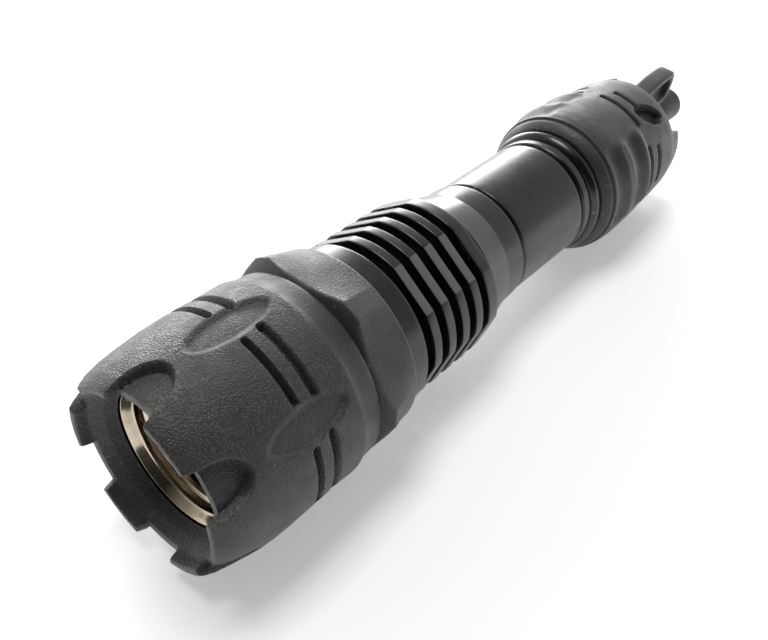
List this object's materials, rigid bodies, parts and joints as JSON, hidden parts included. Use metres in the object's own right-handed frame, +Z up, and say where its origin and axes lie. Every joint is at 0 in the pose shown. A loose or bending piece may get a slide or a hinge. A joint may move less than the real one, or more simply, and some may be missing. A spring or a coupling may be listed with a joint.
{
  "type": "tactical flashlight",
  "caption": "Handheld tactical flashlight with rubber-booted crown head, finned aluminium neck, straight battery tube, screw tailcap with rubber boot, tail switch button and lanyard loop.",
  "frame": {"origin": "on the floor under the middle of the light's length; the light lies on its side on the widest ring of the head boot", "axes": "+X along the beam towards the crown, +Z up, +Y to the left of someone who looks along the beam"},
  "size_m": [0.168, 0.0406, 0.0392],
  "materials": {
    "grip_rubber": "matt, pebble-grained charcoal grey",
    "black_anodised": "gloss black anodised",
    "bezel_steel": "polished",
    "lens_glass": "clear, coated",
    "reflector_bright": "bright, fine orange peel",
    "led": "yellow phosphor under a clear dome",
    "white_plastic": "plain",
    "circuit_board": "green solder mask",
    "bare_aluminium": "machined",
    "gold": "gold plated",
    "led_wire_red": "red insulation",
    "led_wire_black": "black insulation",
    "seal_rubber": "black nitrile",
    "battery_wrap": "blue shrink wrap",
    "battery_metal": "nickel plated",
    "brass": "turned",
    "switch_plastic": "black",
    "spring_steel": "drawn wire",
    "button_rubber": "smooth black"
  },
  "bodies": {
    "head": {"head_boot": "grip_rubber", "head_housing": "black_anodised", "bezel_ring": "bezel_steel", "front_lens": "lens_glass", "lens_seal": "seal_rubber", "reflector": "reflector_bright", "led_emitter": "led", "led_gasket": "white_plastic", "led_board": "circuit_board", "led_wire_red": "led_wire_red", "led_wire_black": "led_wire_black", "heat_sink": "bare_aluminium", "driver_board": "circuit_board", "driver_spring": "gold", "head_o_ring": "seal_rubber", "battery_tube": "black_anodised", "battery_cell": "battery_wrap", "battery_positive_cap": "battery_metal", "tail_o_ring": "seal_rubber"},
    "contact": {"tail_spring": "gold"},
    "tailcap": {"tailcap_housing": "black_anodised", "tail_boot": "grip_rubber", "lanyard_loop": "grip_rubber", "retaining_ring": "brass", "switch_board": "circuit_board", "switch_body": "switch_plastic", "button_spring": "spring_steel", "button_seal": "seal_rubber"},
    "button": {"switch_button": "button_rubber", "switch_plunger": "white_plastic"}
  },
  "joints": [
    {"name": "tailcap_slide", "type": "slide", "parent": "head", "child": "contact", "axis": [-1, 0, 0], "range_m": [0, 0.005]},
    {"name": "tailcap_turn", "type": "hinge", "parent": "contact", "child": "tailcap", "pos_m": [-0.04, 0, 0.0196], "axis": [-1, 0, 0], "range_deg": [0, 1801]},
    {"name": "button_press", "type": "slide", "parent": "tailcap", "child": "button", "axis": [1, 0, 0], "range_m": [0, 0.0015], "stiffness_N_per_m": 1500}
  ],
  "couplings": [
    {"joint": "tailcap_turn", "follows": "tailcap_slide", "rad_per_m": 6283.2}
  ]
}
